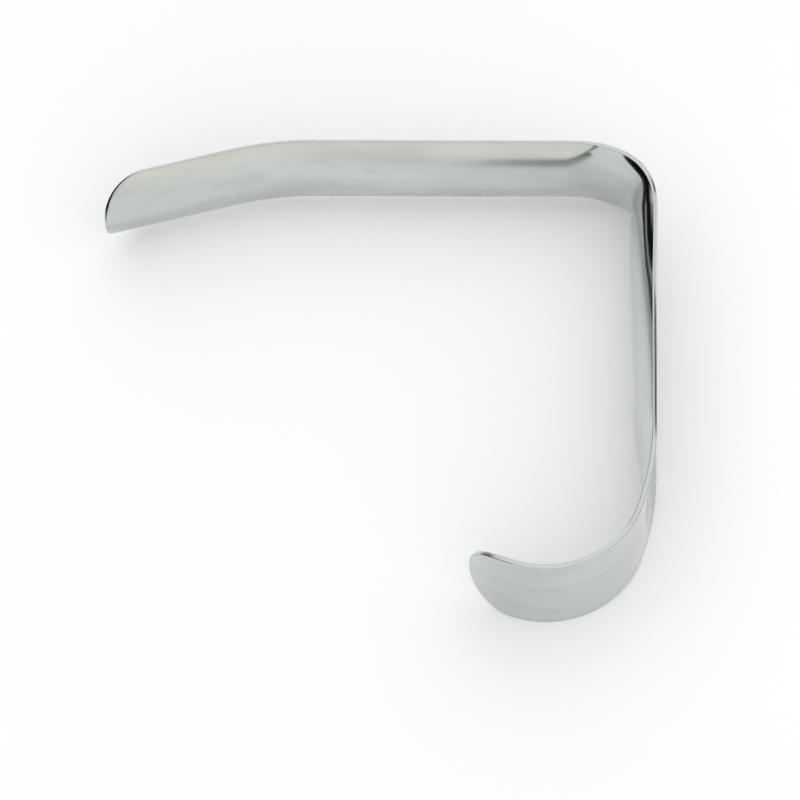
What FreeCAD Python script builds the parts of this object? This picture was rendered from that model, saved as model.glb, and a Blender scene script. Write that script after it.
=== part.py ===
import FreeCAD, Part
import math
import os
import Sketcher

# A right-angle hand retractor, pressed from one strip of stainless steel. It lies on its
# side, as it comes to rest: the strip stands on its long edge, the blade runs along X, the
# handle and the hook follow towards -Y, and the strip's width is the height along Z.
# The strip is rolled into a trough that bulges inwards, towards the hook, and its rims stay
# square to the sheet. The trough flattens in the heel, closes up again in the handle and
# runs out flat into the hook.

# Driving dimensions, in millimetres and degrees
SIZES = [
    ("strip_width", 25.4, "width of the strip before it is rolled, the same from tip to hook"),
    ("strip_thickness", 1.2, "thickness of the sheet"),
    ("edge_break", 0.3, "width that the bevel on every long edge takes off each face"),
    ("tip_length", 30.2, "straight end of the blade"),
    ("tip_corner", 10.8, "corner radius of the blade's end, seen square to its rim"),
    ("blade_bend_radius", 72.9, "gentle bend in the blade"),
    ("blade_bend_angle", 15.3, "turn of that bend"),
    ("blade_length", 55.2, "straight run of the blade up to the heel"),
    ("blade_curl", 46.3, "angle from the trough's middle to its rim in the blade"),
    ("heel_entry_radius", 30.0, "bend where the blade runs into the heel"),
    ("heel_entry_angle", 23.8, "turn of that bend"),
    ("heel_radius", 14.6, "tight bend of the heel"),
    ("heel_angle", 62.0, "turn of the tight bend"),
    ("heel_exit_radius", 17.0, "bend where the heel runs into the handle"),
    ("heel_exit_angle", 4.1, "turn of that bend"),
    ("heel_curl", 23.5, "angle from middle to rim where the heel is flattest"),
    ("handle_length", 51.3, "straight run of the handle with the full trough"),
    ("handle_curl", 40.3, "angle from the trough's middle to its rim in the handle"),
    ("fade_length", 4.0, "straight end of the handle, where the trough starts to run out"),
    ("hook_entry_radius", 69.0, "bend over which the trough runs out to nothing"),
    ("hook_entry_angle", 18.6, "turn of that bend"),
    ("hook_radius", 21.7, "bend of the flat hook"),
    ("hook_angle", 120.6, "turn of the hook"),
    ("hook_corner", 11.5, "corner radius of the hook's end, seen flat"),
]

# Distance between the sections of a stretch whose trough changes
SECTION_SPACING = 2.5

# Distance of the section that keeps a stretch in line with its straight neighbour
CLOSE_SECTION = 0.2

# How far a cutting outline reaches past the metal
CUT_MARGIN = 2.0

# Two faces that turn by less than this where they meet run on smoothly
SMOOTH_ANGLE = 45.0

doc = FreeCAD.newDocument("retractor")


def make_sheet():
    """Write the driving dimensions into a spreadsheet, one alias to a row."""
    table = doc.addObject("Spreadsheet::Sheet", "sizes")
    for row, (alias, value, note) in enumerate(SIZES, start=1):
        table.set(f"A{row}", alias)
        table.set(f"B{row}", str(value))
        table.set(f"C{row}", note)
        table.setAlias(f"B{row}", alias)
    doc.recompute()
    return table


sheet = make_sheet()


def size(alias):
    """Value of one driving dimension."""
    return float(sheet.get(alias))


class Spine:
    """Line midway between the strip's faces at its long edges, walked from the tip.

    It lies level, at half the strip's width, and turns to the right only, so that every
    bend is centred on the inward side.
    """

    def __init__(self):
        self.position = FreeCAD.Vector(0, 0, size("strip_width") / 2)
        self.heading = math.radians(size("blade_bend_angle"))

    def forward(self):
        return FreeCAD.Vector(math.cos(self.heading), math.sin(self.heading), 0)

    def inward(self):
        return FreeCAD.Vector(math.sin(self.heading), -math.cos(self.heading), 0)

    def straight(self, length):
        self.position = self.position + self.forward() * length

    def bend(self, radius, degrees):
        centre = self.position + self.inward() * radius
        self.heading -= math.radians(degrees)
        self.position = centre - self.inward() * radius

    def frame(self):
        """Frame of a section: x inwards, y down the strip's width, z along the strip."""
        down = FreeCAD.Vector(0, 0, -1)
        rotation = FreeCAD.Rotation(self.inward(), down, self.forward(), "ZXY")
        return FreeCAD.Placement(self.position, rotation)


spine = Spine()
body = doc.addObject("PartDesign::Body", "Strip")
body.Label = "retractor"


def ground_plane():
    for feature in body.Origin.OriginFeatures:
        if feature.Role == "XY_Plane":
            return feature
    raise ValueError("the body has no ground plane")


def new_sketch(name, frame):
    """Sketch of the body, set in a frame that is given in the body's own axes."""
    sketch = body.newObject("Sketcher::SketchObject", name)
    sketch.AttachmentSupport = [(ground_plane(), "")]
    sketch.MapMode = "FlatFace"
    sketch.AttachmentOffset = frame
    return sketch


def hold(sketch, rules):
    """Add constraints that need no size."""
    for rule in rules:
        sketch.addConstraint(Sketcher.Constraint(*rule))


def bind(sketch, rule, value, expression):
    """Add a constraint with a size and tie the size to the sheet."""
    index = sketch.addConstraint(Sketcher.Constraint(*rule, value))
    sketch.setExpression(f"Constraints[{index}]", expression)


def close_section(sketch, half, half_rule):
    """Join the two faces of a section by its rims, level about the middle.

    half is the height of the outer face's ends above and below the middle.
    """
    hold(sketch, [
        ("Coincident", 0, 1, 2, 1),
        ("Coincident", 1, 1, 2, 2),
        ("Coincident", 0, 2, 3, 1),
        ("Coincident", 1, 2, 3, 2),
    ])
    bind(sketch, ("DistanceY", 0, 1, -1, 1), half, half_rule)
    bind(sketch, ("DistanceY", -1, 1, 0, 2), half, half_rule)


def trough_radius(curl):
    """Radius midway between the faces, from the angle between the trough's middle and rim."""
    return size("strip_width") * 90 / (math.pi * curl)


def trough_section(name, curl, curl_rule):
    """Bent section: two arcs about one centre, with the rims square to them.

    The middle of the sheet keeps the strip's full width, however far it is rolled.
    curl_rule gives the curl again, in terms of the sheet's cells.
    """
    face = size("strip_thickness") / 2
    radius = trough_radius(curl)
    angle = math.radians(curl)
    centre = FreeCAD.Vector(-radius * math.cos(angle), 0, 0)
    sketch = new_sketch(name, spine.frame())
    ends = []
    for arc_radius in (radius + face, radius - face):
        circle = Part.Circle(centre, FreeCAD.Vector(0, 0, 1), arc_radius)
        sketch.addGeometry(Part.ArcOfCircle(circle, -angle, angle))
        x = centre.x + arc_radius * math.cos(angle)
        y = arc_radius * math.sin(angle)
        ends.append((FreeCAD.Vector(x, -y, 0), FreeCAD.Vector(x, y, 0)))
    for outer, inner in zip(*ends):
        sketch.addGeometry(Part.LineSegment(outer, inner))
    hold(sketch, [
        ("Coincident", 0, 3, 1, 3),
        ("PointOnObject", 0, 3, -1),
        ("PointOnObject", 0, 3, 2),
        ("PointOnObject", 0, 3, 3),
    ])
    rule = f"sizes.strip_width * 90 / (pi * {curl_rule})"
    outer_rule = f"({rule} + sizes.strip_thickness / 2)"
    close_section(sketch, (radius + face) * math.sin(angle), f"{outer_rule} * sin({curl_rule})")
    bind(sketch, ("Radius", 0), radius + face, outer_rule)
    bind(sketch, ("Radius", 1), radius - face, f"{rule} - sizes.strip_thickness / 2")
    bind(sketch, ("DistanceX", 0, 3, -1, 1), -centre.x, f"{rule} * cos({curl_rule})")
    return sketch


def flat_section(name):
    """Section of the hook: a plain rectangle, centred on the spine."""
    half = size("strip_width") / 2
    face = size("strip_thickness") / 2
    sketch = new_sketch(name, spine.frame())
    for x in (face, -face):
        ends = FreeCAD.Vector(x, -half, 0), FreeCAD.Vector(x, half, 0)
        sketch.addGeometry(Part.LineSegment(*ends))
    for y in (-half, half):
        ends = FreeCAD.Vector(face, y, 0), FreeCAD.Vector(-face, y, 0)
        sketch.addGeometry(Part.LineSegment(*ends))
    close_section(sketch, half, "sizes.strip_width / 2")
    hold(sketch, [("Vertical", 0), ("Vertical", 1), ("Horizontal", 2), ("Horizontal", 3)])
    bind(sketch, ("DistanceX", -1, 1, 0, 1), face, "sizes.strip_thickness / 2")
    bind(sketch, ("DistanceX", 1, 1, -1, 1), face, "sizes.strip_thickness / 2")
    return sketch


def straight_run(name, section, length_alias):
    """Straight stretch: the section is padded along the spine."""
    pad = body.newObject("PartDesign::Pad", name)
    pad.Profile = section
    pad.setExpression("Length", f"sizes.{length_alias}")
    spine.straight(size(length_alias))


def even_bend(name, section, radius_alias, angle_alias):
    """Bend at constant section: the section is turned about the bend's own axis."""
    radius = size(radius_alias)
    half = size("strip_width") / 2
    ends = FreeCAD.Vector(radius, -half, 0), FreeCAD.Vector(radius, half, 0)
    axis = section.addGeometry(Part.LineSegment(*ends), True)
    hold(section, [("Symmetric", axis, 1, axis, 2, -1)])
    bind(section, ("DistanceY", axis, 1, axis, 2), 2 * half, "sizes.strip_width")
    bind(section, ("DistanceX", -1, 1, axis, 1), radius, f"sizes.{radius_alias}")
    bend = body.newObject("PartDesign::Revolution", name)
    bend.Profile = section
    bend.ReferenceAxis = (section, ["Axis0"])
    bend.setExpression("Angle", f"sizes.{angle_alias}")
    spine.bend(radius, size(angle_alias))


def changing_run(name, sections):
    """Stretch whose trough opens or closes: a loft through its sections."""
    loft = body.newObject("PartDesign::AdditiveLoft", name)
    loft.Profile = sections[0]
    loft.Sections = sections[1:]


def ease(share):
    """Smooth step from 0 to 1 with a level start and end."""
    return share**2 * (3 - 2 * share)


def curl_between(first, last, share):
    """Curl on the way from one named curl to another, as value and rule."""
    blend = ease(share)
    value = size(first) + (size(last) - size(first)) * blend
    return value, f"(sizes.{first} + (sizes.{last} - sizes.{first}) * {blend:.6f})"


def curl_left(share):
    """Curl that is left of the handle's on its way out, as value and rule."""
    left = 1 - ease(share)
    return size("handle_curl") * left, f"(sizes.handle_curl * {left:.6f})"


def even_curl(alias):
    return size(alias), f"sizes.{alias}"


def arc_length(radius_alias, angle_alias):
    return size(radius_alias) * math.radians(size(angle_alias))


def steps(length, close_start=False, close_end=False):
    """Shares of a stretch at which it gets a section, one of them close to an open end."""
    count = max(2, round(length / SECTION_SPACING))
    shares = [step / count for step in range(count + 1)]
    if close_start:
        shares.insert(1, CLOSE_SECTION / length)
    if close_end:
        shares.insert(-1, 1 - CLOSE_SECTION / length)
    return list(zip(shares, shares[1:]))


def make_blade():
    """Even trough: the straight end, the gentle bend and the run up to the heel."""
    straight_run("BladeTip", trough_section("TipSection", *even_curl("blade_curl")), "tip_length")
    bend_section = trough_section("BladeBendSection", *even_curl("blade_curl"))
    even_bend("BladeBend", bend_section, "blade_bend_radius", "blade_bend_angle")
    run_section = trough_section("BladeSection", *even_curl("blade_curl"))
    straight_run("BladeRun", run_section, "blade_length")


def make_heel():
    """The trough flattens into the tight bend and closes up again from the bend's middle."""
    entry = arc_length("heel_entry_radius", "heel_entry_angle")
    tight = arc_length("heel_radius", "heel_angle")
    leave = arc_length("heel_exit_radius", "heel_exit_angle")
    closing = tight / 2 + leave
    sections = [trough_section("HeelSection", *even_curl("blade_curl"))]
    for start, end in steps(entry, close_start=True):
        spine.bend(size("heel_entry_radius"), size("heel_entry_angle") * (end - start))
        curl = curl_between("blade_curl", "heel_curl", end)
        sections.append(trough_section("HeelSection", *curl))
    for start, end in steps(tight):
        spine.bend(size("heel_radius"), size("heel_angle") * (end - start))
        closed = max(0, end - 0.5) * tight / closing
        curl = curl_between("heel_curl", "handle_curl", closed)
        sections.append(trough_section("HeelSection", *curl))
    for start, end in steps(leave, close_end=True):
        spine.bend(size("heel_exit_radius"), size("heel_exit_angle") * (end - start))
        closed = (tight / 2 + leave * end) / closing
        curl = curl_between("heel_curl", "handle_curl", closed)
        sections.append(trough_section("HeelSection", *curl))
    changing_run("Heel", sections)


def make_handle():
    section = trough_section("HandleSection", *even_curl("handle_curl"))
    straight_run("Handle", section, "handle_length")


def make_hook():
    """The trough runs out between the handle and the hook, and the flat hook curls round."""
    straight = size("fade_length")
    bent = arc_length("hook_entry_radius", "hook_entry_angle")
    sections = [trough_section("FadeSection", *even_curl("handle_curl"))]
    for start, end in steps(straight, close_start=True):
        spine.straight(straight * (end - start))
        curl = curl_left(straight * end / (straight + bent))
        sections.append(trough_section("FadeSection", *curl))
    for start, end in steps(bent, close_end=True):
        spine.bend(size("hook_entry_radius"), size("hook_entry_angle") * (end - start))
        if end < 1:
            curl = curl_left((straight + bent * end) / (straight + bent))
            sections.append(trough_section("FadeSection", *curl))
    sections.append(flat_section("FadeSection"))
    changing_run("Fade", sections)
    even_bend("Hook", flat_section("HookSection"), "hook_radius", "hook_angle")


def rim_frame(frame, curl, into, side):
    """Frame at a rim's middle at an end: x into the strip, y outwards, square to the rim.

    into is 1 where the spine runs into the strip from this end and -1 where it leaves,
    side is 1 at the lower rim and -1 at the upper one.
    """
    angle = math.radians(curl)
    along = frame.Rotation.multVec(FreeCAD.Vector(0, 0, into))
    outwards = frame.Rotation.multVec(FreeCAD.Vector(-math.sin(angle), side * math.cos(angle), 0))
    half = size("strip_width") / 2
    if curl > 0:
        half = trough_radius(curl) * math.sin(angle)
    rim = frame.multVec(FreeCAD.Vector(0, side * half, 0))
    rotation = FreeCAD.Rotation(along, outwards, FreeCAD.Vector(), "XYZ")
    return FreeCAD.Placement(rim, rotation)


def corner_sketch(name, frame, corner_alias):
    """Waste at a corner: the corner's arc and a box outside the metal."""
    radius = size(corner_alias)
    sketch = new_sketch(name, frame)
    circle = Part.Circle(FreeCAD.Vector(radius, -radius, 0), FreeCAD.Vector(0, 0, 1), radius)
    sketch.addGeometry(Part.ArcOfCircle(circle, math.pi / 2, math.pi))
    box = [
        (0, -radius),
        (-CUT_MARGIN, -radius),
        (-CUT_MARGIN, CUT_MARGIN),
        (radius, CUT_MARGIN),
        (radius, 0),
    ]
    corners = [FreeCAD.Vector(x, y, 0) for x, y in box]
    for start, end in zip(corners, corners[1:]):
        sketch.addGeometry(Part.LineSegment(start, end))
    hold(sketch, [
        ("Coincident", 0, 2, 1, 1),
        ("Coincident", 1, 2, 2, 1),
        ("Coincident", 2, 2, 3, 1),
        ("Coincident", 3, 2, 4, 1),
        ("Coincident", 4, 2, 0, 1),
        ("Horizontal", 1),
        ("Vertical", 2),
        ("Horizontal", 3),
        ("Vertical", 4),
        ("Vertical", 0, 1, 0, 3),
        ("Horizontal", 0, 2, 0, 3),
        ("DistanceX", 2, 2, -1, 1, CUT_MARGIN),
        ("DistanceY", -1, 1, 2, 2, CUT_MARGIN),
    ])
    corner_rule = f"sizes.{corner_alias}"
    bind(sketch, ("Radius", 0), radius, corner_rule)
    bind(sketch, ("DistanceX", -1, 1, 0, 3), radius, corner_rule)
    bind(sketch, ("DistanceY", 0, 3, -1, 1), radius, corner_rule)
    return sketch


def round_end(name, frame, curl, into, corner_alias):
    """Cut both corners of an end to a radius, each one square to its own rim."""
    for side, place in ((1, "Lower"), (-1, "Upper")):
        rim = rim_frame(frame, curl, into, side)
        outline = corner_sketch(f"{place}{name}Outline", rim, corner_alias)
        before = body.Shape.Volume
        cut = body.newObject("PartDesign::Pocket", f"{place}{name}")
        cut.Profile = outline
        cut.SideType = "Symmetric"
        cut.setExpression("Length", "sizes.strip_width")
        doc.recompute()
        if not 0 < cut.Shape.Volume < before:
            raise ValueError(f"{cut.Name} cuts nothing")


def normal_at(face, point):
    u, v = face.Surface.parameter(point)
    return face.normalAt(u, v)


def sharp_edges(shape):
    """Names of the long edges where a face of the strip meets a narrow edge face."""
    level = math.cos(math.radians(SMOOTH_ANGLE))
    names = []
    for number, edge in enumerate(shape.Edges, start=1):
        faces = [face for face in shape.Faces if any(edge.isSame(side) for side in face.Edges)]
        if len(faces) < 2 or edge.Length < 2 * size("strip_thickness"):
            continue
        middle = edge.valueAt((edge.FirstParameter + edge.LastParameter) / 2)
        if abs(normal_at(faces[0], middle).dot(normal_at(faces[1], middle))) < level:
            names.append(f"Edge{number}")
    return names


def break_edges():
    """Break every long edge and both ends with one small bevel."""
    trimmed = body.Tip
    edges = sharp_edges(trimmed.Shape)
    bevel = body.newObject("PartDesign::Chamfer", "EdgeBreak")
    bevel.Base = (trimmed, edges)
    bevel.setExpression("Size", "sizes.edge_break")
    doc.recompute()


def set_on_ground():
    """Set the lowest rim on the ground and the middle of the footprint over the origin."""
    box = body.Shape.optimalBoundingBox()
    body.Placement.Base = FreeCAD.Vector(-box.Center.x, -box.Center.y, -box.ZMin)
    doc.recompute()


def check_and_write():
    for item in doc.Objects:
        if "Invalid" in item.State or "Error" in item.State:
            raise RuntimeError(f"{item.Name} failed: {item.State}")
    shape = body.Shape
    if shape.isNull() or not shape.isValid() or len(shape.Solids) != 1:
        raise RuntimeError("the strip is not one valid solid")
    os.makedirs("parts", exist_ok=True)
    shape.exportStep(f"parts/{body.Label}.step")
    print(body.Label, "volume", round(shape.Volume, 1), shape.optimalBoundingBox())


tip_frame = spine.frame()
make_blade()
make_heel()
make_handle()
make_hook()
doc.recompute()
round_end("TipCorner", tip_frame, size("blade_curl"), 1, "tip_corner")
round_end("HookCorner", spine.frame(), 0, -1, "hook_corner")
break_edges()
set_on_ground()
check_and_write()
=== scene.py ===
import bpy
import math
import numpy as np
from mathutils import Matrix, Vector


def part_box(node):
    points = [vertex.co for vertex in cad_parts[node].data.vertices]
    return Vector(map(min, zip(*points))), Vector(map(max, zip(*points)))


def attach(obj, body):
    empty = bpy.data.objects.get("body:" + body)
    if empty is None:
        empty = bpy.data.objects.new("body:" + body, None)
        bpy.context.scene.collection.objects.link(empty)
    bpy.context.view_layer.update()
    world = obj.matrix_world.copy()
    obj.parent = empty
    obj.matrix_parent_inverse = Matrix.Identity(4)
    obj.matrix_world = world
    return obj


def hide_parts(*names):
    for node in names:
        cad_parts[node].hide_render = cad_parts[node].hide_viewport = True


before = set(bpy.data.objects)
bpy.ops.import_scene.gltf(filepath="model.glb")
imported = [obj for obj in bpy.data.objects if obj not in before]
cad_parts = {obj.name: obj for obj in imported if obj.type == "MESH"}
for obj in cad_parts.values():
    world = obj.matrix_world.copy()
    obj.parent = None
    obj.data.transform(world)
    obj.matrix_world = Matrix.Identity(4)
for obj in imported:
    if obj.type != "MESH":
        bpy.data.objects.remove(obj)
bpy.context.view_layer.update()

print("frame loaded")

# A right-angle hand retractor lying on its side: one strip of stainless steel that stands on
# its long edge. Lengths here are millimetres and angles degrees, the meshes are in metres.
millimetre = 0.001

strip = {
    "width": 25.4,          # of the blank, before it is rolled
    "thickness": 1.2,
    "edgeRounding": 0.3,
    "tipLength": 30.2,
    "tipCorner": 10.8,
    "bladeBendRadius": 72.9,
    "bladeBendAngle": 15.3,
    "bladeLength": 55.2,
    "bladeCurl": 46.3,      # angle from the trough's middle to its rim
    "heelEntryRadius": 30.0,
    "heelEntryAngle": 23.8,
    "heelRadius": 14.6,
    "heelAngle": 62.0,
    "heelExitRadius": 17.0,
    "heelExitAngle": 4.1,
    "heelCurl": 23.5,
    "handleLength": 51.3,
    "handleCurl": 40.3,
    "handleCurlGain": 9.0,  # more of it where the heel lets go of the handle
    "handleCurlHold": 3.0,  # how far it holds along the handle
    "handleCurlEase": 40.0, # over which it is back to the handle's own
    "rimTurn": 17.0,        # degrees by which the heel's rims turn further back
    "rimTurnWidth": 3.2,    # over the outermost stretch of the width
    "rimTurnLead": 0.15,    # it begins this share of half the bend before the heel
    "rimTurnEase": 22.0,    # along the handle, until they are even again
    "fadeLength": 4.0,
    "leastCurl": 0.01,      # keeps the flat hook's rolling radius finite
    "hookEntryRadius": 69.0,
    "hookEntryAngle": 18.6,
    "hookRadius": 21.7,
    "hookAngle": 120.6,
    "hookCorner": 11.5,
    "columnSpacing": 0.5,   # distance of the mesh's columns along the strip
    "cornerColumns": 36,    # columns over each rounded end
    "rows": 44,             # quads across a face
    "roundingSteps": 6,     # quads over each rounded edge
}


def linearColour(text):
    # sRGB hex to linear: c / 12.92 up to 0.04045, else ((c + 0.055) / 1.055) ** 2.4
    channels = [int(text[i:i + 2], 16) / 255 for i in (1, 3, 5)]
    return [c / 12.92 if c <= 0.04045 else ((c + 0.055) / 1.055) ** 2.4 for c in channels] + [1.0]


def smoothStep(x):
    # 3 x^2 - 2 x^3, held at 0 and 1 outside
    x = np.clip(x, 0, 1)
    return x * x * (3 - 2 * x)


def stretches():
    # (length, turn in radians) of each stretch of the spine, from the tip to the hook's end
    bends = []
    for name in ("bladeBend", "heelEntry", "heel", "heelExit", "hookEntry", "hook"):
        turn = math.radians(strip[name + "Angle"])
        bends.append((strip[name + "Radius"] * turn, turn))
    bladeBend, heelEntry, heel, heelExit, hookEntry, hook = bends
    return [
        (strip["tipLength"], 0), bladeBend, (strip["bladeLength"], 0),
        heelEntry, heel, heelExit,
        (strip["handleLength"] + strip["fadeLength"], 0), hookEntry, hook,
    ]


runs = stretches()
marks = np.concatenate([[0], np.cumsum([length for length, turn in runs])])
fullLength = float(marks[-1])
halfWidth = strip["width"] / 2


def spineAt(s):
    # Place and heading at the distance s from the tip, with t = (s - s0) / length in a stretch.
    # The heading falls evenly over an arc, h = h0 - turn t. A straight gives
    # p = p0 + (cos h0, sin h0) (s - s0). An arc of radius R has its centre at
    # p0 + R (sin h0, -cos h0) and gives p = centre - R (sin h, -cos h).
    place = np.zeros(s.shape + (2,))
    heading = np.zeros(s.shape)
    start, startHeading = np.zeros(2), math.radians(strip["bladeBendAngle"])
    for (length, turn), s0, s1 in zip(runs, marks, marks[1:]):
        inside = (s >= s0) & (s <= s1)
        h = startHeading - turn * (s[inside] - s0) / length
        heading[inside] = h
        if turn:
            radius = length / turn
            centre = start + radius * np.array([math.sin(startHeading), -math.cos(startHeading)])
            startHeading -= turn
            place[inside] = centre - radius * np.stack([np.sin(h), -np.cos(h)], -1)
            start = centre - radius * np.array([math.sin(startHeading), -math.cos(startHeading)])
        else:
            forward = np.array([math.cos(startHeading), math.sin(startHeading)])
            place[inside] = start + forward * (s[inside] - s0)[:, None]
            start = start + forward * length
    return place, heading


def curlAt(s):
    # Half angle of the trough's arc in radians. It is even in the blade, eased to the heel's over
    # the heel's entry, to the handle's from the middle of the heel's bend and to nothing on the
    # way into the hook. The gain adds to it from the heel's bend on, is full where the handle
    # begins and ebbs away along it
    heelMiddle = (marks[4] + marks[5]) / 2
    fadeStart = marks[6] + strip["handleLength"]
    curl = np.full(s.shape, strip["bladeCurl"])
    curl = curl + (strip["heelCurl"] - curl) * smoothStep((s - marks[3]) / (marks[4] - marks[3]))
    closing = smoothStep((s - heelMiddle) / (marks[6] - heelMiddle))
    curl = curl + (strip["handleCurl"] - curl) * closing
    rise = smoothStep((s - marks[4]) / (marks[6] - marks[4]))
    ebb = smoothStep((s - marks[6] - strip["handleCurlHold"]) / strip["handleCurlEase"])
    curl = curl + strip["handleCurlGain"] * rise * (1 - ebb)
    curl = curl * (1 - smoothStep((s - fadeStart) / (marks[8] - fadeStart)))
    return np.radians(np.maximum(curl, strip["leastCurl"]))


def rimTurnAt(s):
    # Extra angle of the rims in radians. It begins just before the heel's bend, rises over half
    # the bend's length and ebbs away in the handle
    halfHeel = (marks[5] - marks[4]) / 2
    rise = smoothStep((s - marks[4]) / halfHeel + strip["rimTurnLead"])
    ebb = smoothStep((s - marks[6]) / strip["rimTurnEase"])
    return math.radians(strip["rimTurn"]) * rise * (1 - ebb)


def toSpace(s, w, q):
    # The flat blank is rolled and bent. s is the distance along it from the tip, w across it from
    # the middle and q the height above the middle of the sheet. With half angle A, r = H / A and
    # a = w / r the section is x = (r + q) cos a - r cos A inwards and y = (r + q) sin a upwards.
    # The rims turn back by E t at the share t of their last stretch L, so q loses E L t^2 / 2.
    place, heading = spineAt(s)
    curl = curlAt(s)
    radius = halfWidth / curl
    angle = w / radius
    rim = strip["rimTurnWidth"]
    share = np.clip((np.abs(w) - halfWidth) / rim + 1, 0, 1)
    q = q - rimTurnAt(s) * rim * share**2 / 2
    x = (radius + q) * np.cos(angle) - radius * np.cos(curl)
    inward = np.stack([np.sin(heading), -np.cos(heading)], -1)
    flat = place + inward * x[..., None]
    return np.concatenate([flat, ((radius + q) * np.sin(angle) + halfWidth)[..., None]], -1)


def upperOutline():
    # Upper edge of the blank as (s, w), tip to hook. A corner of radius R takes c = R - R sin b
    # off the width at e = R - R cos b from the end. The tip's is cut square to the rolled rim,
    # w = r (A - asin(c / r)). The hook's is cut straight, s = full length - R1 asin(e / R1).
    b = np.linspace(0, math.pi / 2, strip["cornerColumns"] + 1)
    tip, hook, bend = strip["tipCorner"], strip["hookCorner"], strip["hookRadius"]
    curl = math.radians(strip["bladeCurl"])
    radius = halfWidth / curl
    tipW = radius * (curl - np.arcsin((tip - tip * np.sin(b)) / radius))
    tipPart = np.stack([tip - tip * np.cos(b), tipW], -1)
    hookS = fullLength - bend * np.arcsin((hook - hook * np.cos(b)) / bend)
    hookPart = np.stack([hookS, halfWidth - hook + hook * np.sin(b)], -1)[::-1]
    count = int((hookS[-1] - tip) / strip["columnSpacing"])
    middle = np.linspace(tip, hookS[-1], count + 1)[1:-1]
    return np.concatenate([tipPart, np.stack([middle, middle * 0 + halfWidth], -1), hookPart])


def borderOf(outline):
    # The whole edge as a ring of (s, w) with its outward directions: over the top from tip to
    # hook, down the hook's end, back along the bottom and up the tip's end
    t = np.linspace(-1, 1, strip["rows"] + 1)[1:-1]
    hookEnd = np.stack([t * 0 + outline[-1, 0], t[::-1] * outline[-1, 1]], -1)
    tipEnd = np.stack([t * 0 + outline[0, 0], t * outline[0, 1]], -1)
    border = np.concatenate([outline, hookEnd, outline[::-1] * np.array([1, -1]), tipEnd])
    tangent = np.roll(border, -1, 0) - np.roll(border, 1, 0)
    outward = np.stack([-tangent[:, 1], tangent[:, 0]], -1)
    return border, outward / np.linalg.norm(outward, axis=1, keepdims=True)


def rimRing(grid):
    # The border of a rows by columns grid, in the same order
    return np.concatenate([grid[-1, :], grid[-2:0:-1, -1], grid[0, ::-1], grid[1:-1, 0]])


def gridNormals(points, closed):
    # Cross product of the two directions of a grid, by central differences
    if closed:
        along = np.roll(points, -1, 1) - np.roll(points, 1, 1)
    else:
        along = np.gradient(points, axis=1)
    normal = np.cross(along, np.gradient(points, axis=0))
    return normal / np.linalg.norm(normal, axis=-1, keepdims=True)


def quadsOf(index):
    # Quads of a grid of vertex numbers
    corners = [index[:-1, :-1], index[:-1, 1:], index[1:, 1:], index[1:, :-1]]
    return np.stack(corners, -1).reshape(-1, 4)


def buildStrip():
    # Inner face, outer face and the rounded rim between them, joined along shared vertices. A
    # face is a grid whose columns run across the blank, w = t w1 with t from -1 to 1. The rim's
    # roundings of radius p are n = p cos g - p outwards, q = side (T / 2 - p + p sin g), with g
    # from 0 to 90 degrees.
    outline = upperOutline()
    border, outward = borderOf(outline)
    p = strip["edgeRounding"]
    half = strip["thickness"] / 2
    inset = (border - p * outward)[:len(outline)]
    t = np.linspace(-1, 1, strip["rows"] + 1)[:, None]
    faceS = inset[:, 0] + t * 0
    faceW = inset[:, 1] * t
    g = np.linspace(0, math.pi / 2, strip["roundingSteps"] + 1)[:-1]
    n = np.concatenate([p * np.cos(g[::-1]) - p, p * np.cos(g) - p])[:, None, None]
    rim = border + n * outward
    rimQ = np.concatenate([half - p + p * np.sin(g[::-1]), p - half - p * np.sin(g)])[:, None]
    s = np.concatenate([faceS.ravel(), faceS.ravel(), rim[..., 0].ravel()])
    w = np.concatenate([faceW.ravel(), faceW.ravel(), rim[..., 1].ravel()])
    faceQ = np.full(faceS.size, half)
    q = np.concatenate([faceQ, -faceQ, (rimQ + rim[..., 0] * 0).ravel()])
    vertices = toSpace(s, w, q)
    innerIndex = np.arange(faceS.size).reshape(faceS.shape)
    outerIndex = innerIndex + faceS.size
    rimIndex = np.arange(rim[..., 0].size).reshape(rim.shape[:2]) + 2 * faceS.size
    ring = np.concatenate([rimRing(innerIndex)[None], rimIndex, rimRing(outerIndex)[None]])
    normals = np.concatenate([
        gridNormals(vertices[innerIndex], False).reshape(-1, 3),
        -gridNormals(vertices[outerIndex], False).reshape(-1, 3),
        -gridNormals(vertices[ring], True)[1:-1].reshape(-1, 3),
    ])
    closedRing = np.concatenate([ring, ring[:, :1]], 1)
    inner, outer, around = quadsOf(innerIndex), quadsOf(outerIndex), quadsOf(closedRing)
    quads = np.concatenate([inner, outer[:, ::-1], around[:, ::-1]])
    return vertices, normals, quads, np.stack([s, w], -1)


def makeObject(name, vertices, normals, quads, pattern):
    # Mesh in metres, with its own normals and a UV map that holds the blank's own distances in
    # metres: u along the strip from the tip, v across it from the middle
    mesh = bpy.data.meshes.new(name)
    mesh.from_pydata(vertices.tolist(), [], quads.tolist())
    mesh.polygons.foreach_set("use_smooth", np.ones(len(mesh.polygons), dtype=bool))
    corners = np.empty(len(mesh.loops), dtype=np.int32)
    mesh.loops.foreach_get("vertex_index", corners)
    layer = mesh.uv_layers.new(name="alongStrip")
    layer.data.foreach_set("uv", (pattern[corners] * millimetre).ravel())
    mesh.validate()
    mesh.update()
    mesh.normals_split_custom_set_from_vertices(normals.tolist())
    piece = bpy.data.objects.new(name, mesh)
    bpy.context.scene.collection.objects.link(piece)
    return piece


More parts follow.
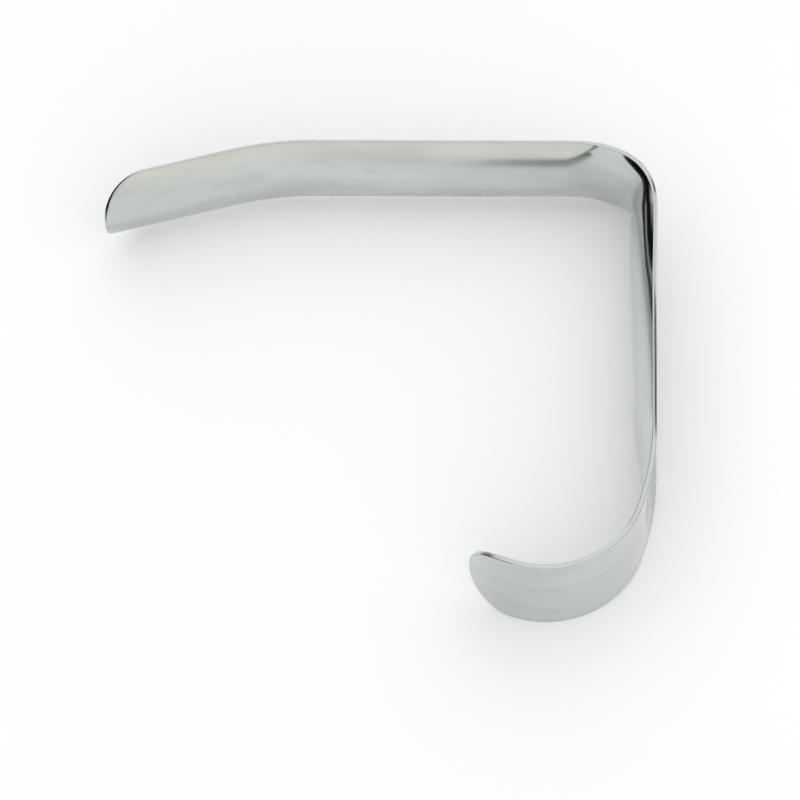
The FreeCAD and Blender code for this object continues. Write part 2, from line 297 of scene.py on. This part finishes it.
vertices, normals, quads, pattern = buildStrip()
low, high = vertices.min(0), vertices.max(0)
cadLow, cadHigh = (np.array(corner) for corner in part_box("retractor"))
centring = (cadLow + cadHigh) / 2 - (low + high) / 2 * millimetre
steelStrip = makeObject("steel_strip", vertices * millimetre + centring, normals, quads, pattern)
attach(steelStrip, "root")
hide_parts("retractor")
print("strip made:", len(quads), "quads", (high - low).round(3), "mm")

# The photograph's view, placed by the middle of the heel
camera = {
    "pixelSize": 0.2245,      # mm of the object to one pixel of the photograph
    "distance": 10157.6,      # from the heel, in the same pixels
    "azimuth": -0.44,         # degrees to the left of straight on
    "fromAbove": 29.83,       # degrees away from looking straight down
    "heelPixel": (642.6, 195.6),
    "imageSize": 800.0,
    "sensorWidth": 36.0,      # mm
    "clip": (0.1, 20.0),      # metres
}


def photoCamera():
    # right, up and back are the camera's own axes. The camera is at heel + back * distance and
    # looks at the point that the photograph shows in its middle.
    azimuth, tilt = math.radians(camera["azimuth"]), math.radians(camera["fromAbove"])
    right = Vector((math.cos(azimuth), 0, -math.sin(azimuth)))
    up = Vector((math.sin(azimuth) * math.sin(tilt), math.cos(tilt), math.cos(azimuth) * math.sin(tilt)))
    back = right.cross(up)
    place = spineAt(np.array([(marks[4] + marks[5]) / 2]))[0][0]
    heel = Vector((*(place * millimetre + centring[:2]), halfWidth * millimetre + centring[2]))
    pixel = camera["pixelSize"] * millimetre
    half = camera["imageSize"] / 2
    eye = heel + back * camera["distance"] * pixel
    aim = heel + (right * (half - camera["heelPixel"][0]) + up * (camera["heelPixel"][1] - half)) * pixel
    newBack = (eye - aim).normalized()
    newRight = up.cross(newBack).normalized()
    newUp = newBack.cross(newRight)
    data = bpy.data.cameras.new("photoCamera")
    data.sensor_width = camera["sensorWidth"]
    data.lens = data.sensor_width * (eye - aim).length / (camera["imageSize"] * pixel)
    data.clip_start, data.clip_end = camera["clip"]
    holder = bpy.data.objects.new("photoCamera", data)
    bpy.context.scene.collection.objects.link(holder)
    axes = Matrix((newRight, newUp, newBack)).transposed()
    holder.matrix_world = Matrix.Translation(eye) @ axes.to_4x4()
    bpy.context.scene.camera = holder


photoCamera()
print("camera placed")


def addNode(tree, kind, settings=None, **links):
    # Adds a node. settings holds attributes and, under a socket's name, its value. links joins
    # a socket of another node to an input, with underscores for the spaces in its name.
    node = tree.nodes.new(kind)
    for name, value in (settings or {}).items():
        if name in node.inputs:
            node.inputs[name].default_value = value
        else:
            setattr(node, name, value)
    for name, socket in links.items():
        tree.links.new(socket, node.inputs[name.replace("_", " ")])
    return node


def smoothRange(tree, socket, limits):
    # Smooth step of a socket's value, from 0 at the first limit to 1 at the second
    first, last = limits
    flipped = first > last
    node = addNode(tree, "ShaderNodeMapRange", {
        "interpolation_type": "SMOOTHSTEP",
        "From Min": min(first, last), "From Max": max(first, last),
        "To Min": float(flipped), "To Max": float(not flipped),
    }, Value=socket)
    return node.outputs["Result"]


def joined(tree, operation, first, second):
    # Math node over two sockets, or a socket and a number
    node = addNode(tree, "ShaderNodeMath", {"operation": operation})
    for slot, value in zip(node.inputs, (first, second)):
        if isinstance(value, float):
            slot.default_value = value
        else:
            tree.links.new(value, slot)
    return node.outputs[0]


steel = {
    "colour": "#CDD0CD",
    "hazed": "#C3C6C3",       # where fingers and cloths have dulled it
    "bladeRoughness": 0.27,   # the blade is buffed a little duller
    "handleRoughness": 0.13,
    "changeOver": (0.085, 0.115),  # metres along the strip, just before the heel
    "roughnessSwing": 0.04,   # from clean to hazed steel, about the two values above
    "polishLine": 0.9,        # mm between polish lines. Real ones lie near 0.1 mm, less than a
                              # pixel of 0.22 mm, so they are drawn coarser
    "polishRun": 28.0,        # mm that a line runs on along the strip
    "polishDepth": 0.003,     # mm
    "hazeWidth": 6.0,         # mm across a patch of haze
    "hazeRun": 30.0,          # mm along it, as a cloth leaves it
    "hazeRange": (0.35, 0.68),     # the noise goes from clean to hazed over this
    "hairlineGap": 0.35,      # mm across the noise whose crests are the hairline scratches
    "hairlineRun": 16.0,      # mm that one runs on
    "hairlineSlant": 0.5,     # radians off the strip's direction
    "hairlineRange": (0.70, 0.76), # the noise goes from clean to scratched over this
}


def polishedStainless():
    # Rolled stainless strip, polished and then buffed lengthwise. It mirrors the studio softly.
    # Haze dulls it in patches. The polish lines along the strip and the hairlines that cross it
    # at a slant are faint.
    material = bpy.data.materials.new("buffed_stainless_steel")
    material.use_nodes = True
    tree = material.node_tree
    tree.nodes.clear()
    blank = addNode(tree, "ShaderNodeUVMap", {"uv_map": "alongStrip"}).outputs["UV"]
    perMetre = 1 / millimetre
    # Polish lines: noise on the blank's own map, drawn out along the strip
    lineScale = (perMetre / steel["polishRun"], perMetre / steel["polishLine"], 1)
    drawnOut = addNode(tree, "ShaderNodeMapping", {"Scale": lineScale}, Vector=blank)
    lines = addNode(tree, "ShaderNodeTexNoise", {"Scale": 1.0, "Detail": 3.0}, Vector=drawnOut.outputs[0])
    # Haze: softer patches, drawn out the same way
    hazeScale = (perMetre / steel["hazeRun"], perMetre / steel["hazeWidth"], 1)
    wiped = addNode(tree, "ShaderNodeMapping", {"Scale": hazeScale}, Vector=blank)
    haze = addNode(tree, "ShaderNodeTexNoise", {"Scale": 1.0, "Detail": 3.0}, Vector=wiped.outputs[0])
    hazeShare = smoothRange(tree, haze.outputs["Fac"], steel["hazeRange"])
    # Hairlines: the crests of a noise drawn out at a slant
    turned = addNode(tree, "ShaderNodeMapping", {"Rotation": (0, 0, steel["hairlineSlant"])}, Vector=blank)
    slantScale = (perMetre / steel["hairlineRun"], perMetre / steel["hairlineGap"], 1)
    slanted = addNode(tree, "ShaderNodeMapping", {"Scale": slantScale}, Vector=turned.outputs[0])
    crests = addNode(tree, "ShaderNodeTexNoise", {"Scale": 1.0, "Detail": 1.0}, Vector=slanted.outputs[0])
    hairlines = smoothRange(tree, crests.outputs["Fac"], steel["hairlineRange"])
    along = addNode(tree, "ShaderNodeSeparateXYZ", Vector=blank)
    handleShare = smoothRange(tree, along.outputs["X"], steel["changeOver"])
    difference = steel["handleRoughness"] - steel["bladeRoughness"]
    roughness = joined(tree, "MULTIPLY", handleShare, difference)
    roughness = joined(tree, "ADD", roughness, steel["bladeRoughness"] - steel["roughnessSwing"] / 2)
    roughness = joined(tree, "ADD", roughness, joined(tree, "MULTIPLY", hazeShare, steel["roughnessSwing"]))
    dulled = joined(tree, "MAXIMUM", hazeShare, hairlines)
    # A colour mix takes its two colours at inputs 6 and 7 and gives the result at output 2
    tint = addNode(tree, "ShaderNodeMix", {"data_type": "RGBA"}, Factor=dulled)
    tint.inputs[6].default_value = linearColour(steel["colour"])
    tint.inputs[7].default_value = linearColour(steel["hazed"])
    bump = addNode(tree, "ShaderNodeBump", {
        "Strength": 1.0, "Distance": steel["polishDepth"] * millimetre,
    }, Height=lines.outputs["Fac"])
    shader = addNode(tree, "ShaderNodeBsdfPrincipled", {"Metallic": 1.0},
                     Base_Color=tint.outputs[2], Roughness=roughness, Normal=bump.outputs["Normal"])
    addNode(tree, "ShaderNodeOutputMaterial", Surface=shader.outputs["BSDF"])
    return material


steelStrip.data.materials.append(polishedStainless())
print("steel made")

studio = {
    "top": "#FBFDFF",            # soft overhead light
    "topStrength": 1.08,
    "topRange": (0.45, 0.85),    # height of the direction over which it takes over
    "foot": "#F8FBFA",           # the white tent's foot, level with the strip
    "footTop": (0.02, 0.30),     # height over which the foot goes over into the wall
    "tent": "#FFFCF6",           # the tent's wall
    "tentStrength": 1.02,
    "room": "#05090A",           # dark room past the tent's open left side
    "roomSide": (-0.42, -0.62),  # x of the direction over which it begins
    "roomTop": (0.60, 0.30),     # height over which it begins
    "gap": "#6A6E70",            # shaded gap at the tent's right foot
    "gapSide": (0.55, 0.90),
    "gapTop": (0.45, 0.15),
    "floorHalf": 3.0,            # metres
    "paper": "#F9FAFB",
    "paperGlow": 0.09,           # lifts the paper to white for the camera and for mirrors
    "clothEdge": -0.072,         # metres, where the black cloth on the left begins
    "clothLevel": 0.0005,        # metres above the paper
}


def mixed(tree, share, first, second):
    # Two shaders blended by a share, all the first at 0 and all the second at 1
    node = addNode(tree, "ShaderNodeMixShader", Fac=share)
    tree.links.new(first, node.inputs[1])
    tree.links.new(second, node.inputs[2])
    return node.outputs[0]


def background(tree, colour, strength):
    node = addNode(tree, "ShaderNodeBackground", {"Color": linearColour(colour), "Strength": strength})
    return node.outputs[0]


def lightTent():
    # White tent with its light overhead, open to a dark room on the left. What the camera sees
    # past the floor is plain white.
    world = bpy.data.worlds.new("light_tent")
    bpy.context.scene.world = world
    world.use_nodes = True
    tree = world.node_tree
    tree.nodes.clear()
    direction = addNode(tree, "ShaderNodeTexCoord").outputs["Generated"]
    axes = addNode(tree, "ShaderNodeSeparateXYZ", Vector=direction)
    across, height = axes.outputs["X"], axes.outputs["Z"]
    foot = background(tree, studio["foot"], studio["tentStrength"])
    wall = background(tree, studio["tent"], studio["tentStrength"])
    walls = mixed(tree, smoothRange(tree, height, studio["footTop"]), foot, wall)
    top = background(tree, studio["top"], studio["topStrength"])
    light = mixed(tree, smoothRange(tree, height, studio["topRange"]), walls, top)
    gapSide = smoothRange(tree, across, studio["gapSide"])
    gapShare = joined(tree, "MULTIPLY", gapSide, smoothRange(tree, height, studio["gapTop"]))
    light = mixed(tree, gapShare, light, background(tree, studio["gap"], 1.0))
    roomSide = smoothRange(tree, across, studio["roomSide"])
    roomShare = joined(tree, "MULTIPLY", roomSide, smoothRange(tree, height, studio["roomTop"]))
    light = mixed(tree, roomShare, light, background(tree, studio["room"], 1.0))
    path = addNode(tree, "ShaderNodeLightPath")
    light = mixed(tree, path.outputs["Is Camera Ray"], light, background(tree, "#FFFFFF", 1.0))
    addNode(tree, "ShaderNodeOutputWorld", Surface=light)


def makeSheet(name, low, high, level, material):
    # Level rectangle between two corners (x, y), in metres
    corners = [(*low, level), (high[0], low[1], level), (*high, level), (low[0], high[1], level)]
    mesh = bpy.data.meshes.new(name)
    mesh.from_pydata(corners, [], [(0, 1, 2, 3)])
    mesh.materials.append(material)
    sheet = bpy.data.objects.new(name, mesh)
    bpy.context.scene.collection.objects.link(sheet)
    return sheet


def whitePaper():
    # Matt white paper. A little glow lifts it to the photograph's white for the camera and for
    # mirrors, and its shadow stays.
    material = bpy.data.materials.new("matt_white_paper")
    material.use_nodes = True
    tree = material.node_tree
    tree.nodes.clear()
    matt = addNode(tree, "ShaderNodeBsdfDiffuse", {"Color": linearColour(studio["paper"])})
    path = addNode(tree, "ShaderNodeLightPath")
    seen = joined(tree, "MAXIMUM", path.outputs["Is Camera Ray"], path.outputs["Is Glossy Ray"])
    lift = joined(tree, "MULTIPLY", seen, studio["paperGlow"])
    glow = addNode(tree, "ShaderNodeEmission", Strength=lift)
    both = addNode(tree, "ShaderNodeAddShader")
    tree.links.new(matt.outputs[0], both.inputs[0])
    tree.links.new(glow.outputs[0], both.inputs[1])
    addNode(tree, "ShaderNodeOutputMaterial", Surface=both.outputs[0])
    return material


def blackCloth():
    # Matt black cloth, which swallows the light
    material = bpy.data.materials.new("black_cloth")
    material.use_nodes = True
    tree = material.node_tree
    tree.nodes.clear()
    matt = addNode(tree, "ShaderNodeBsdfDiffuse", {"Color": linearColour(studio["room"])})
    addNode(tree, "ShaderNodeOutputMaterial", Surface=matt.outputs[0])
    return material


lightTent()
half = studio["floorHalf"]
makeSheet("floor", (-half, -half), (half, half), 0, whitePaper())
clothCorner = (studio["clothEdge"], half)
cloth = makeSheet("cloth", (-half, -half), clothCorner, studio["clothLevel"], blackCloth())
# Only the steel's reflections see the cloth. It gives the blade's end its dark line
cloth.visible_camera = False
cloth.visible_diffuse = False
cloth.visible_shadow = False
bpy.context.scene.view_settings.view_transform = "Standard"
print("studio made")
